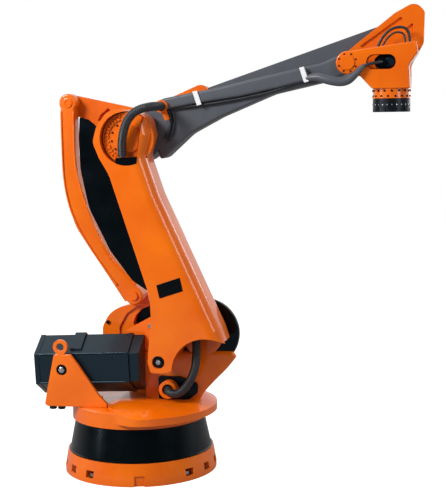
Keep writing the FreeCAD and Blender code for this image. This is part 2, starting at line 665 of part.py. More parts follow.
def wrist_plate():
    """Far cheek of the wrist, reaching up to the front rod's pin."""
    far = LEVER_NEAR + LEVER_THICK
    body = plate([(1250, 2470, 30), (1294, 2530, 10), (1559, 2736, 100), (1680, 2800, 60), (1732, 2740, 30),
                  (1726, 2560, 30), (1655, 2430, 20), (1655, COLLAR_TOP), (1436, COLLAR_TOP), (1375, 2367, 20)],
                 LEVER_NEAR, far)
    groove = plate([(1345, 2540, 6), (1592, 2712, 6), (1612, 2698, 6), (1420, 2545, 6)], LEVER_NEAR - 1, LEVER_NEAR + 14)
    pocket = plate([(1616, 2640, 8), (1664, 2680, 8), (1672, 2590, 8), (1640, 2600, 8)], LEVER_NEAR - 1, LEVER_NEAR + 14)
    body = body.fuse(disc(WRIST, 62, LEVER_NEAR, far))
    pin = disc(PLATE_PIN, 20, far, FRONT_ROD_NEAR + FRONT_ROD_THICK + 8)
    return body.cut(groove).cut(pocket).fuse(pin).removeSplitter()


def wrist_casting():
    inner = WRIST_NEAR + WRIST_CHEEK
    near_cheek = plate([(WRIST[0] + 20, 2385, 20), (1375, 2367, 20), (1436, COLLAR_TOP), (1655, COLLAR_TOP),
                        (1650, 2430, 40), (1700, 2500, 20), (1692, 2563, 12), (WRIST[0], 2512, 30),
                        (WRIST[0] - 30, 2440, 20)], WRIST_NEAR, inner)
    near_cheek = softened(near_cheek, 9, WRIST_NEAR, lambda x, z: x > WRIST[0] and z > COLLAR_TOP + 5)
    near_cheek = near_cheek.fuse(softened(disc(WRIST, 66, WRIST_NEAR, inner), 9, WRIST_NEAR))
    block = plate([(1440, COLLAR_TOP), (1655, COLLAR_TOP), (1650, 2430, 30), (1700, 2500, 20), (1690, 2545, 12),
                   (1480, 2530, 10)], inner, LEVER_NEAR)
    window = plate([(1408, 2407, 40), (1575, 2407, 41), (1575, 2491, 41), (1408, 2491, 40)],
                   WRIST_NEAR - 1, WRIST_NEAR + WINDOW_DEPTH)
    shaft = disc(WRIST, 35 - RUNNING_FIT, inner, LEVER_NEAR)
    return near_cheek.fuse(block).cut(window).fuse(shaft).removeSplitter()


def wrist_connector():
    """Black plug and its housing on the floor of the wrist's window."""
    floor = WRIST_NEAR + WINDOW_DEPTH
    body = plate([(1450, 2411, 38), (1571, 2411, 38), (1571, 2487, 38), (1450, 2487, 38)], floor - 30, floor)
    return body.fuse(disc((1500, 2449), 22, WRIST_NEAR - 4, floor - 29))


def tool_flange():
    body = drum(FLANGE_R, FLANGE_FACE, FLANGE_TOP, TOOL_X)
    body = body.cut(drum(PILOT_R, FLANGE_FACE - 1, FLANGE_FACE + 8, TOOL_X))
    for i in range(FLANGE_HOLES):
        angle = 360.0 / FLANGE_HOLES * i
        x, y = polar((TOOL_X, 0), FLANGE_PCD / 2, angle)
        body = body.cut(drum(FLANGE_HOLE_R, FLANGE_FACE - 1, FLANGE_FACE + 16, x, y))
        x, y = polar((TOOL_X, 0), FLANGE_R, angle + 15)
        body = body.cut(drum(6, FLANGE_FACE - 1, FLANGE_FACE + 22, x, y))
    return body


# ---------------------------------------------------------------- hoses

CLAMP = (205.0, 2216.0)


def hose_clamp():
    """Clamp on the forearm that ends the elbow hose, with a strap down the forearm's side."""
    near = -FOREARM_HALF - SLEEVE_THICK
    strap = plate([(200, 2192, 4), (232, 2192, 4), (252, 2140, 4), (222, 2132, 4)], near - 10, near)
    body = disc(CLAMP, 37, near - 26, near).fuse(strap)
    return body.cut(disc(CLAMP, HOSE_R + 0.8, near - 27, near + 1))


def hose_parts():
    base = hose([(PORT[0], COLUMN_NEAR, PORT[1]), (PORT[0], -200, PORT[1]), (300, -214, 500), (392, -216, 622),
                 (414, -217, 770), (404, -217, 960)], HOSE_R)
    foot = on_link_point(SOCKET)
    middle = (43, -357, 2106)
    lower = hose([(foot[0], LINK_NEAR + 12, foot[1] + 20), (12, -348, 2032), middle], HOSE_R)
    upper = hose([middle, (62.22, -362.58, 2151.88), (122, -362, 2200), (192, -318, 2216), (CLAMP[0], -232, CLAMP[1]),
                  (CLAMP[0], -FOREARM_HALF - SLEEVE_THICK, CLAMP[1])], HOSE_R)
    return {"base_hose": base, "elbow_hose_lower": lower, "elbow_hose_upper": upper}


def on_link_point(local):
    turn = math.radians(LINK_LEAN)
    return (SHOULDER[0] + local[0] * math.cos(turn) - local[1] * math.sin(turn),
            SHOULDER[1] + local[0] * math.sin(turn) + local[1] * math.cos(turn))


# ---------------------------------------------------------------- writing

def all_parts():
    parts = {}
    parts.update(base_parts())
    parts.update(column_parts())
    parts.update(link_parts())
    parts["rear_rod"] = rear_rod()
    parts["elbow_lever"] = elbow_lever()
    parts.update(forearm_parts())
    parts["front_rod"] = front_rod()
    parts.update({"wrist_casting": wrist_casting(), "wrist_plate": wrist_plate(),
                  "wrist_collar": drum(106, FLANGE_TOP, COLLAR_TOP, TOOL_X), "wrist_connector": wrist_connector()})
    parts["tool_flange"] = tool_flange()
    parts["hose_clamp"] = hose_clamp()
    parts.update(hose_parts())
    return parts


os.makedirs("parts", exist_ok=True)
for name, shape in all_parts().items():
    print(name, "solids", len(shape.Solids), "valid", shape.isValid(), "volume", round(shape.Volume / 1e6, 2))
    shape.exportStep("parts/" + name + ".step")
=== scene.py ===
"""Looks for the palletising arm: enamelled castings, laminate forearm, ribbed hoses and hardware.

Metres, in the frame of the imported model: +Z up along the slewing axis, +X the way the arm reaches.
"""
import math

import bmesh
import bpy
import numpy as np
from mathutils import Matrix, Vector


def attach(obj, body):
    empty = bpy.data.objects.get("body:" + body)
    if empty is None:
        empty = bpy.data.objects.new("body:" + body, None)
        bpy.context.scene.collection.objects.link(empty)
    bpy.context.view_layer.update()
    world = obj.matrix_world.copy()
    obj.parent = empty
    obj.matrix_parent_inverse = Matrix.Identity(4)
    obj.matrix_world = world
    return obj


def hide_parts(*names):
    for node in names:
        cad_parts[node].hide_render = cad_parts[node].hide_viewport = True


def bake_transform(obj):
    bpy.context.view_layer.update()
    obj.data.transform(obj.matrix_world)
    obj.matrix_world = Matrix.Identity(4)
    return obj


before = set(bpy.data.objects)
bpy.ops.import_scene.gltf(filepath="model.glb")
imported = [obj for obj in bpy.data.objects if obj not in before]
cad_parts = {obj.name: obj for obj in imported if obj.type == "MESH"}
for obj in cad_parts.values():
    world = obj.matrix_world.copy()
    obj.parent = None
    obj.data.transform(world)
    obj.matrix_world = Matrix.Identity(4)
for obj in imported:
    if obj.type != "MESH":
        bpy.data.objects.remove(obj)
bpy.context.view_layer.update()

MM = 0.001
UP = np.array([0.0, 0.0, 1.0])


# ---------------------------------------------------------------- camera, lights and floor

CAMERA_PLACE = (1.9543, -7.2935, 2.1742)
CAMERA_HEADING = 11.0       # degrees from +Y towards -X
CAMERA_PITCH = 6.325        # degrees below the horizon
CAMERA_ROLL = -0.86
CAMERA_LENS = 100.09        # mm
SENSOR_WIDTH = 36.0         # mm


FRONT_LEVEL = 0.12          # how bright the surround is in front of the arm, behind it and overhead
BACK_LEVEL = 0.8
OVERHEAD_LEVEL = 0.35
FLOOR_R = 14.0
SOFT_BOXES = {              # place, where it points, width and height, watts
    "key": ((-3.6, -5.2, 5.4), (0.2, 0, 1.2), (2.4, 2.4), 540),
    "side": ((5.0, -3.0, 3.6), (0.4, 0, 1.3), (1.4, 3.2), 80),
    "rim": ((3.4, 3.2, 3.4), (0.3, 0, 1.4), (1.6, 2.6), 60),
    "edge": ((-4.6, -3.0, 2.2), (0.0, 0, 1.2), (0.5, 3.0), 60)}


def turn(axis, degrees):
    return Matrix.Rotation(math.radians(degrees), 4, axis)


def add_camera():
    data = bpy.data.cameras.new("camera")
    data.sensor_fit = "HORIZONTAL"
    data.sensor_width = SENSOR_WIDTH
    data.lens = CAMERA_LENS
    camera = bpy.data.objects.new("camera", data)
    camera.matrix_world = (Matrix.Translation(CAMERA_PLACE) @ turn("Z", CAMERA_HEADING)
                           @ turn("X", 90 - CAMERA_PITCH) @ turn("Z", CAMERA_ROLL))
    bpy.context.collection.objects.link(camera)
    bpy.context.scene.camera = camera


def area_light(name, place, target, size, watts):
    data = bpy.data.lights.new(name, "AREA")
    data.shape = "RECTANGLE"
    data.size, data.size_y = size
    data.energy = watts
    lamp = bpy.data.objects.new(name, data)
    aim = Vector(target) - Vector(place)
    lamp.matrix_world = Matrix.Translation(place) @ aim.to_track_quat("-Z", "Y").to_matrix().to_4x4()
    bpy.context.collection.objects.link(lamp)


def linear(hex_code):
    """sRGB hex to the linear colour that shader sockets take."""
    channels = np.array([int(hex_code[i:i + 2], 16) for i in (1, 3, 5)]) / 255.0
    low = channels / 12.92
    high = ((channels + 0.055) / 1.055) ** 2.4
    return tuple(np.where(channels <= 0.04045, low, high)) + (1.0,)


def seen_as_white(tree, strength):
    """The strength for light that falls on the arm, and full white where the camera looks straight at it."""
    item = add_node(tree, "ShaderNodeMix", {"data_type": "FLOAT"}, A=strength, B=1.0)
    tree.links.new(add_node(tree, "ShaderNodeLightPath").outputs["Is Camera Ray"], item.inputs["Factor"])
    return item.outputs["Result"]


def studio_surround():
    """Surround that is white behind the object, grey in front of it and lighter overhead."""
    world = bpy.data.worlds.new("studio")
    world.use_nodes = True
    tree = world.node_tree
    around = add_node(tree, "ShaderNodeTexCoord").outputs["Generated"]
    direction = add_node(tree, "ShaderNodeSeparateXYZ", Vector=around)
    behind = spread(tree, direction.outputs["Y"], -0.15, 0.35, FRONT_LEVEL, BACK_LEVEL)
    overhead = spread(tree, direction.outputs["Z"], 0.35, 1.0, 0.0, OVERHEAD_LEVEL)
    total = add_node(tree, "ShaderNodeMath", {"operation": "ADD"})
    tree.links.new(behind, total.inputs[0])
    tree.links.new(overhead, total.inputs[1])
    tree.nodes["Background"].inputs["Color"].default_value = linear("#ffffff")
    tree.links.new(seen_as_white(tree, total.outputs[0]), tree.nodes["Background"].inputs["Strength"])
    bpy.context.scene.world = world


def add_studio():
    """White surround and floor, with soft boxes in front on the left and right, behind, and low on the left."""
    bpy.context.scene.view_settings.view_transform = "Standard"
    studio_surround()
    for name, (place, target, size, watts) in SOFT_BOXES.items():
        area_light(name, place, target, size, watts)
    angles = np.linspace(0, 2 * np.pi, 65)[:-1]
    rim = np.stack([FLOOR_R * np.cos(angles), FLOOR_R * np.sin(angles), np.zeros(len(angles))], axis=1)
    floor = add_mesh("floor", rim, [list(range(len(rim)))])
    floor.data.materials.append(floor_paper())


# ---------------------------------------------------------------- mesh helpers

def add_mesh(name, points, faces, smooth=False):
    """Object at the origin from an array of points and a list of faces."""
    mesh = bpy.data.meshes.new(name)
    mesh.from_pydata(np.asarray(points).tolist(), [], [list(map(int, f)) for f in faces])
    mesh.update()
    if smooth:
        mesh.shade_smooth()
    piece = bpy.data.objects.new(name, mesh)
    bpy.context.collection.objects.link(piece)
    return piece


def grid_faces(rows, columns, wrap):
    """Quads of a grid of points, row after row; wrap joins the last column to the first."""
    last = columns if wrap else columns - 1
    row, column = np.meshgrid(np.arange(rows - 1), np.arange(last), indexing="ij")
    here = row * columns + column
    right = row * columns + (column + 1) % columns
    return np.stack([here, right, right + columns, here + columns], axis=-1).reshape(-1, 4)


def finish(piece, body, material, slot, *nodes):
    """Material, body and the CAD nodes that the piece stands for; the slot is not used."""
    piece.data.materials.clear()
    piece.data.materials.append(material)
    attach(piece, body)
    if nodes:
        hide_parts(*nodes)
    return piece


def dressed(node, body, material, slot, round_mm=2.0, sharp=30):
    """Copy of a CAD casting: its triangles merged, flat ones joined, hard edges given a small round."""
    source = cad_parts[node].data
    corners = np.empty(len(source.vertices) * 3)
    source.vertices.foreach_get("co", corners)
    corners = np.round(corners.reshape(-1, 3), 6)
    points, index = np.unique(corners, axis=0, return_inverse=True)
    index = index.ravel()
    ends = np.empty(len(source.loops), dtype=int)
    source.loops.foreach_get("vertex_index", ends)
    triangles = index[ends].reshape(-1, 3)
    whole = ((triangles[:, 0] != triangles[:, 1]) & (triangles[:, 1] != triangles[:, 2])
             & (triangles[:, 2] != triangles[:, 0]))
    piece = add_mesh("finished_" + node, points, triangles[whole])
    work = bmesh.new()
    work.from_mesh(piece.data)
    bmesh.ops.dissolve_limit(work, angle_limit=math.radians(0.4), verts=work.verts, edges=work.edges)
    work.to_mesh(piece.data)
    work.free()
    piece.data.shade_smooth()
    piece.data.set_sharp_from_angle(angle=math.radians(sharp))
    if round_mm:
        bevel = piece.modifiers.new("edge_round", "BEVEL")
        bevel.width = round_mm * MM
        bevel.segments = 2
        bevel.limit_method = "ANGLE"
        bevel.angle_limit = math.radians(sharp)
        bevel.harden_normals = True
    return finish(piece, body, material, slot, node)


# ---------------------------------------------------------------- materials

def add_node(tree, kind, settings=None, **inputs):
    """Node with its settings, and each input given a value or linked to a socket."""
    item = tree.nodes.new(kind)
    for key, value in (settings or {}).items():
        setattr(item, key, value)
    for key, value in inputs.items():
        socket = item.inputs[key.replace("_", " ")]
        if isinstance(value, bpy.types.NodeSocket):
            tree.links.new(value, socket)
        else:
            socket.default_value = value
    return item


def blank(name):
    material = bpy.data.materials.new(name)
    material.use_nodes = True
    tree = material.node_tree
    tree.nodes.clear()
    place = add_node(tree, "ShaderNodeTexCoord").outputs["Object"]
    return material, tree, place


def surface(tree, **inputs):
    shader = add_node(tree, "ShaderNodeBsdfPrincipled", **inputs)
    output = add_node(tree, "ShaderNodeOutputMaterial")
    tree.links.new(shader.outputs["BSDF"], output.inputs["Surface"])
    return shader


def blend_colour(tree, factor, dark, light):
    mix = add_node(tree, "ShaderNodeMix", {"data_type": "RGBA"})
    tree.links.new(factor, mix.inputs["Factor"])
    for socket in mix.inputs:
        if socket.type == "RGBA" and socket.name == "A":
            socket.default_value = linear(dark)
        if socket.type == "RGBA" and socket.name == "B":
            socket.default_value = linear(light)
    return [s for s in mix.outputs if s.type == "RGBA"][0]


def noise(tree, place, grain_mm, detail=2.0, roughness=0.5):
    """Noise whose blobs are grain_mm across."""
    item = add_node(tree, "ShaderNodeTexNoise", Vector=place, Scale=1000.0 / grain_mm, Detail=detail,
                    Roughness=roughness)
    return item.outputs["Fac"]


def spread(tree, value, low, high, out_low, out_high):
    item = add_node(tree, "ShaderNodeMapRange", Value=value)
    for key, number in (("From Min", low), ("From Max", high), ("To Min", out_low), ("To Max", out_high)):
        item.inputs[key].default_value = number
    return item.outputs["Result"]


def bumps(tree, height, depth_mm, strength=1.0, normal=None):
    item = add_node(tree, "ShaderNodeBump", Height=height, Distance=depth_mm * MM, Strength=strength)
    if normal is not None:
        tree.links.new(normal, item.inputs["Normal"])
    return item.outputs["Normal"]


def orange_enamel():
    """Two-pack enamel sprayed on a sand casting: deep orange, glossy, a little orange peel."""
    material, tree, place = blank("orange_enamel_on_casting")
    cloud = spread(tree, noise(tree, place, 260, 3), 0.3, 0.7, 0.0, 1.0)
    peel = noise(tree, place, 5, 1)
    cast = noise(tree, place, 45, 3)
    normal = bumps(tree, cast, 0.5, 0.35)
    normal = bumps(tree, peel, 0.12, 0.3, normal)
    surface(tree, Base_Color=blend_colour(tree, cloud, "#e26000", "#ee7000"),
            Roughness=spread(tree, noise(tree, place, 90, 2), 0.3, 0.7, 0.3, 0.42),
            Specular_IOR_Level=0.2, Coat_Weight=0.6, Coat_Roughness=0.07, Normal=normal)
    return material


def black_enamel():
    """Gloss enamel on smooth sheet and castings: near black with a cold sheen."""
    material, tree, place = blank("gloss_black_enamel")
    pigment = blend_colour(tree, noise(tree, place, 300, 2), "#010305", "#020609")
    haze = spread(tree, noise(tree, place, 120, 3), 0.3, 0.7, 0.2, 0.34)
    surface(tree, Base_Color=pigment, Roughness=haze, Specular_IOR_Level=0.2, Specular_Tint=linear("#a8cbe0"),
            Coat_Weight=0.12, Coat_Roughness=0.12, Normal=bumps(tree, noise(tree, place, 6, 1), 0.05, 0.2))
    return material


def motor_paint():
    """Hammer-smooth machine paint on the motor: blue black, half gloss."""
    material, tree, place = blank("blue_black_machine_paint")
    surface(tree, Base_Color=blend_colour(tree, noise(tree, place, 200, 3), "#07131b", "#0d1c26"),
            Specular_IOR_Level=0.45, Specular_Tint=linear("#9cc8e2"),
            Roughness=spread(tree, noise(tree, place, 70, 2), 0.3, 0.7, 0.26, 0.4),
            Coat_Weight=0.2, Coat_Roughness=0.12, Normal=bumps(tree, noise(tree, place, 8, 2), 0.08, 0.25))
    return material


def laminate():
    """Carbon fibre laid up in a mould under satin lacquer: dark grey with a faint twill.

    The real tow is 2 mm wide; it is drawn 7 mm wide so that it shows."""
    material, tree, place = blank("satin_carbon_laminate")
    split = add_node(tree, "ShaderNodeSeparateXYZ", Vector=place)
    total = add_node(tree, "ShaderNodeMath", {"operation": "ADD"})
    tree.links.new(split.outputs["X"], total.inputs[0])
    tree.links.new(split.outputs["Z"], total.inputs[1])
    scaled = add_node(tree, "ShaderNodeMath", {"operation": "MULTIPLY"})
    tree.links.new(total.outputs[0], scaled.inputs[0])
    scaled.inputs[1].default_value = 2 * math.pi / 0.014
    wave = add_node(tree, "ShaderNodeMath", {"operation": "SINE"})
    tree.links.new(scaled.outputs[0], wave.inputs[0])
    twill = spread(tree, wave.outputs[0], -1.0, 1.0, 0.0, 1.0)
    cloud = noise(tree, place, 60, 4)
    surface(tree, Base_Color=blend_colour(tree, cloud, "#43474f", "#50545c"),
            Roughness=spread(tree, twill, 0.0, 1.0, 0.42, 0.5), Coat_Weight=0.15, Coat_Roughness=0.3,
            Normal=bumps(tree, twill, 0.05, 0.25, bumps(tree, cloud, 0.4, 0.3)))
    return material


def moulded_rubber():
    """Ribbed conduit moulded in black polyamide: dull sheen, a little dust in the ribs."""
    material, tree, place = blank("black_ribbed_conduit")
    dust = noise(tree, place, 30, 4)
    surface(tree, Base_Color=blend_colour(tree, dust, "#12161b", "#262c34"),
            Roughness=spread(tree, dust, 0.3, 0.7, 0.36, 0.5))
    return material


def plated_steel():
    """Zinc-plated screws and pins: bright grey metal with fine turning marks."""
    material, tree, place = blank("zinc_plated_steel")
    surface(tree, Base_Color=linear("#b9bcc0"), Metallic=1.0,
            Roughness=spread(tree, noise(tree, place, 3, 2), 0.3, 0.7, 0.24, 0.38))
    return material


def black_oxide():
    """Blackened steel with oil in the finish: dark grey metal with bright worn rims."""
    material, tree, place = blank("black_oxide_steel")
    surface(tree, Metallic=0.8, Base_Color=blend_colour(tree, noise(tree, place, 20, 4), "#15181c", "#2a2f36"),
            Roughness=spread(tree, noise(tree, place, 12, 3), 0.3, 0.7, 0.28, 0.42))
    return material


def bare_iron():
    """Machined grey iron, lightly oiled."""
    material, tree, place = blank("machined_grey_iron")
    surface(tree, Metallic=0.7, Roughness=0.45,
            Base_Color=blend_colour(tree, noise(tree, place, 15, 4), "#4a4b4e", "#606266"))
    return material


def white_strap():
    """Woven nylon strap, white, matt."""
    material, tree, place = blank("white_nylon_strap")
    surface(tree, Roughness=0.6, Base_Color=blend_colour(tree, noise(tree, place, 4, 2), "#d9dadd", "#f2f2f4"),
            Normal=bumps(tree, noise(tree, place, 2, 1), 0.1, 0.5))
    return material


def floor_paper():
    """Matt studio paper, grey to the light that falls on it and white where the camera looks straight at it."""
    material, tree, place = blank("white_studio_paper")
    shader = surface(tree, Base_Color=blend_colour(tree, noise(tree, place, 900, 2), "#8c8c8c", "#909090"),
                     Roughness=0.9)
    shader.inputs["Emission Color"].default_value = linear("#ffffff")
    glow = add_node(tree, "ShaderNodeLightPath").outputs["Is Camera Ray"]
    tree.links.new(glow, shader.inputs["Emission Strength"])
    return material


ORANGE = orange_enamel()
BLACK = black_enamel()
MOTOR = motor_paint()
CARBON = laminate()
RUBBER = moulded_rubber()
ZINC = plated_steel()
OXIDE = black_oxide()
IRON = bare_iron()
NYLON = white_strap()


# ---------------------------------------------------------------- turned pieces

def across(axis):
    """Two unit vectors square to an axis and to each other."""
    axis = np.asarray(axis, float) / np.linalg.norm(axis)
    first = np.cross(axis, UP if abs(axis[2]) < 0.9 else np.array([1.0, 0, 0]))
    first /= np.linalg.norm(first)
    return axis, first, np.cross(axis, first)


def lathe_points(profile_mm, centre_mm, axis, around, arc):
    """centre + h axis + r (cos a first + sin a second), for each (r, h) of the profile and angle a."""
    axis, first, second = across(axis)
    angle = np.linspace(math.radians(arc[0]), math.radians(arc[1]), around, endpoint=False)
    circle = np.cos(angle)[:, None] * first + np.sin(angle)[:, None] * second
    profile = np.asarray(profile_mm, float)
    return (np.asarray(centre_mm) + profile[:, 1][:, None, None] * axis
            + profile[:, 0][:, None, None] * circle[None]).reshape(-1, 3) * MM


def lathes(name, profile_mm, centres_mm, axis, around=24, arc=(0.0, 360.0), sharp=35):
    """One piece with the same turned shape at every centre. A profile that ends on the axis closes there."""
    points, faces = [], []
    for i, centre in enumerate(centres_mm):
        one = lathe_points(profile_mm, centre, axis[i] if isinstance(axis, list) else axis, around, arc)
        faces.extend((grid_faces(len(profile_mm), around, arc[1] - arc[0] == 360.0) + len(one) * i).tolist())
        points.append(one)
    piece = add_mesh(name, np.concatenate(points), faces)
    work = bmesh.new()
    work.from_mesh(piece.data)
    bmesh.ops.remove_doubles(work, verts=work.verts, dist=1e-6)
    bmesh.ops.recalc_face_normals(work, faces=work.faces)
    work.to_mesh(piece.data)
    work.free()
    piece.data.shade_smooth()
    piece.data.set_sharp_from_angle(angle=math.radians(sharp))
    return piece


def cap_screw(radius, height):
    """Profile of a socket head: shoulder, small bevel, flat top and a sunk socket."""
    return [(0.0, 0.0), (radius, 0.0), (radius, height * 0.8), (radius * 0.85, height),
            (radius * 0.5, height), (radius * 0.45, height * 0.45), (0.0, height * 0.45)]


def hex_head(radius, height):
    """Profile of a hexagon head on its washer; the six sides come from turning it in six steps."""
    return [(0.0, 0.0), (radius, 0.0), (radius, height * 0.85), (radius * 0.8, height), (0.0, height)]


def washer(radius, hole, height):
    """Profile of a flat ring with a bevelled rim, closed on itself."""
    return [(hole, 0.0), (radius, 0.0), (radius, height * 0.7), (radius - height * 0.3, height),
            (hole, height), (hole, 0.0)]


def ring_of(centre_mm, radius, axis, count, start=0.0):
    """Places round a centre, count of them, the first at the start angle."""
    axis, first, second = across(axis)
    angle = math.radians(start) + 2 * np.pi * np.arange(count) / count
    return [np.asarray(centre_mm) + radius * (math.cos(a) * first + math.sin(a) * second) for a in angle]


# ---------------------------------------------------------------- hoses and cables

HOSE_R = 26.0 * MM
RIB_PITCH = 9.0 * MM
RIB_DEPTH = 2.2 * MM


def spline_points(name, route_mm):
    """Points along the smooth line that the route's points control, close together, in metres."""
    curve = bpy.data.curves.new(name + "_route", "CURVE")
    curve.dimensions = "3D"
    spline = curve.splines.new("NURBS")
    spline.points.add(len(route_mm) - 1)
    for point, place in zip(spline.points, route_mm):
        point.co = (place[0] * MM, place[1] * MM, place[2] * MM, 1.0)
    spline.order_u = 3
    spline.use_endpoint_u = True
    spline.resolution_u = 24
    holder = bpy.data.objects.new(name + "_route", curve)
    mesh = bpy.data.meshes.new_from_object(holder)
    line = np.empty(len(mesh.vertices) * 3)
    mesh.vertices.foreach_get("co", line)
    bpy.data.objects.remove(holder)
    bpy.data.curves.remove(curve)
    bpy.data.meshes.remove(mesh)
    return line.reshape(-1, 3)


def resample(line, step):
    """The same line with points a step apart, and each point's distance along it."""
    runs = np.linalg.norm(np.diff(line, axis=0), axis=1)
    along = np.concatenate([[0.0], np.cumsum(runs)])
    count = max(2, int(round(along[-1] / step)) + 1)
    wanted = np.linspace(0.0, along[-1], count)
    return np.stack([np.interp(wanted, along, line[:, i]) for i in range(3)], axis=1), wanted


def carried_frames(line):
    """Unit tangent, side and rise at each point, the side turned no more than the line itself turns."""
    tangent = np.gradient(line, axis=0)
    tangent /= np.linalg.norm(tangent, axis=1)[:, None]
    side = np.cross(tangent[0], UP if abs(tangent[0][2]) < 0.9 else np.array([1.0, 0, 0]))
    sides = np.empty_like(line)
    for i, direction in enumerate(tangent):
        side = side - direction * np.dot(side, direction)
        side = side / np.linalg.norm(side)
        sides[i] = side
    return tangent, sides, np.cross(tangent, sides)


def tube(name, line, radii, around=24):
    """A circle of changing radius along a line: centre + r (cos a side + sin a rise), ends closed."""
    tangent, side, rise = carried_frames(line)
    angle = np.linspace(0, 2 * np.pi, around + 1)[:-1]
    circle = np.cos(angle)[None, :, None] * side[:, None, :] + np.sin(angle)[None, :, None] * rise[:, None, :]
    points = (line[:, None, :] + radii[:, None, None] * circle).reshape(-1, 3)
    faces = grid_faces(len(line), around, True).tolist()
    last = (len(line) - 1) * around
    faces.append(list(range(around))[::-1])
    faces.append([last + i for i in range(around)])
    piece = add_mesh(name, points, faces, smooth=True)
    work = bmesh.new()
    work.from_mesh(piece.data)
    bmesh.ops.recalc_face_normals(work, faces=work.faces)
    work.to_mesh(piece.data)
    work.free()
    return piece


def ribbed_hose(name, route_mm):
    """Conduit whose radius follows a rounded square wave along its length, one rib each pitch."""
    line, along = resample(spline_points(name, route_mm), RIB_PITCH / 6)
    wave = np.tanh(2.2 * np.sin(2 * np.pi * along / RIB_PITCH))
    radii = HOSE_R - RIB_DEPTH * (0.5 - 0.5 * wave)
    piece = tube(name, line, radii)
    piece.data.materials.append(RUBBER)
    return piece, line, along[-1]


def cable(name, route_mm, radius_mm, body, other=None):
    """Smooth round cable that rides on one body; one that runs between two rides on neither and stays where it
    is drawn.
    """
    line, along = resample(spline_points(name, route_mm), 4 * MM)
    piece = tube(name, line, np.full(len(line), radius_mm * MM), 16)
    piece.data.materials.append(RUBBER)
    if other:
        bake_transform(piece)
    else:
        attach(piece, body)
    return piece


def add_hoses():
    base_route = [(212, -80, 515), (212, -200, 515), (300, -214, 500), (392, -216, 622), (414, -217, 770),
                  (404, -217, 960)]
    foot = (10.9, -318, 1930.9)
    lower_route = [foot, (12, -348, 2032), (43, -357, 2106)]
    upper_route = [(43, -357, 2106), (62.22, -362.58, 2151.88), (122, -362, 2200), (192, -318, 2216),
                   (205, -232, 2216), (205, -118, 2216)]
    for name, node, route, a, b in (
            ("base_conduit", "base_hose", base_route, "column", "link_arm"),
            ("elbow_conduit_lower", "elbow_hose_lower", lower_route, "link_arm", "elbow_lever"),
            ("elbow_conduit_upper", "elbow_hose_upper", upper_route, "elbow_lever", "forearm")):
        piece, line, length = ribbed_hose(name, route)
        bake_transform(piece)
        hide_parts(node)


# ---------------------------------------------------------------- assembly

ENAMELLED = {"base": ["base_flange"],
             "column": ["turntable", "column_casting", "rear_horn", "motor_bracket", "hose_port",
                        "gear_cover", "lifting_eye"],
             "link_arm": ["link_casting", "elbow_gear"],
             "rear_rod": ["rear_rod"],
             "elbow_lever": ["elbow_lever"],
             "forearm": ["hose_clamp"],
             "wrist": ["wrist_casting", "wrist_plate", "wrist_collar"]}


def dress_castings():
    for body, nodes in ENAMELLED.items():
        for node in nodes:
            dressed(node, body, ORANGE, "orange_enamel")
    for node in ("cable_tray", "horn_cover", "shoulder_gear", "slew_motor"):
        dressed(node, "column", BLACK, "black_enamel")
    for node in ("motor_housing", "motor_rear_cap", "motor_front_cap", "motor_adapter", "motor_band",
                 "motor_tie_rods"):
        dressed(node, "column", MOTOR, "black_enamel", 1.5)
    dressed("base_cover", "base", BLACK, "black_enamel", 0)
    dressed("base_pedestal", "base", IRON, "cast_iron", 0)
    for node in ("rear_guard", "arm_plaque", "hose_socket"):
        dressed(node, "link_arm", BLACK, "black_enamel", 1.0)
    for node in ("forearm_hub", "forearm_beam", "cable_sleeve"):
        dressed(node, "forearm", CARBON, "carbon_shell")
    dressed("front_rod", "front_rod", CARBON, "carbon_shell")
    dressed("sleeve_ties", "forearm", NYLON, "white_nylon", 1.0)
    dressed("bracket_bolt", "column", ZINC, "bright_steel", 1.5)
    dressed("bracket_spacer", "column", IRON, "cast_iron", 0)
    dressed("shoulder_hub", "link_arm", IRON, "cast_iron", 0)
    dressed("elbow_shaft", "link_arm", IRON, "cast_iron", 1.0)
    dressed("lug_bolt", "link_arm", OXIDE, "black_steel", 1.5)
    dressed("wrist_connector", "wrist", BLACK, "black_enamel", 1.0)
    dressed("tool_flange", "tool", OXIDE, "black_steel", 1.0)


# ---------------------------------------------------------------- small pieces, in mm

SHOULDER = (425, 850)       # places of the axes in X and Z
ELBOW = (36.1, 2032.7)
WRIST = (1299.6, 2448.1)
ROD_PIN = (-415.9, 2246.4)
TOOL_X = 1544.6
LEAN = math.radians(18.2)   # of the link arm from upright, and of the forearm from level
NEAR = (0.0, -1.0, 0.0)
DOWN = (0.0, 0.0, -1.0)
BASE_AXIS = [(0, 0, 0)]
TOOL_AXIS = [(TOOL_X, 0, 0)]
FLOOR_CIRCLE_R = 430
FLOOR_HOLES = 18
FLOOR_FIRST = -137          # degrees from +X
FLOOR_CLOSED = (2, 3, 4)    # holes with no pocket
FLOOR_PLATE = 30
WASHER_THICK = 5
WRIST_FACE = -112
LUG_FACE = (202.5, -330, 720)
GEAR_COVER_FACE = -285
RIB_EDGE = 18               # the elbow's rib starts this far in front of the axis
SLEEVE_TOP = -72            # the hose's sleeve reaches this high
ROD_RIM_R = 6


def along_forearm(points):
    """Places given along and across the forearm, as (x, depth, rise), in the arm's frame."""
    return [(ELBOW[0] + x * math.cos(LEAN) - z * math.sin(LEAN), y,
             ELBOW[1] + x * math.sin(LEAN) + z * math.cos(LEAN)) for x, y, z in points]


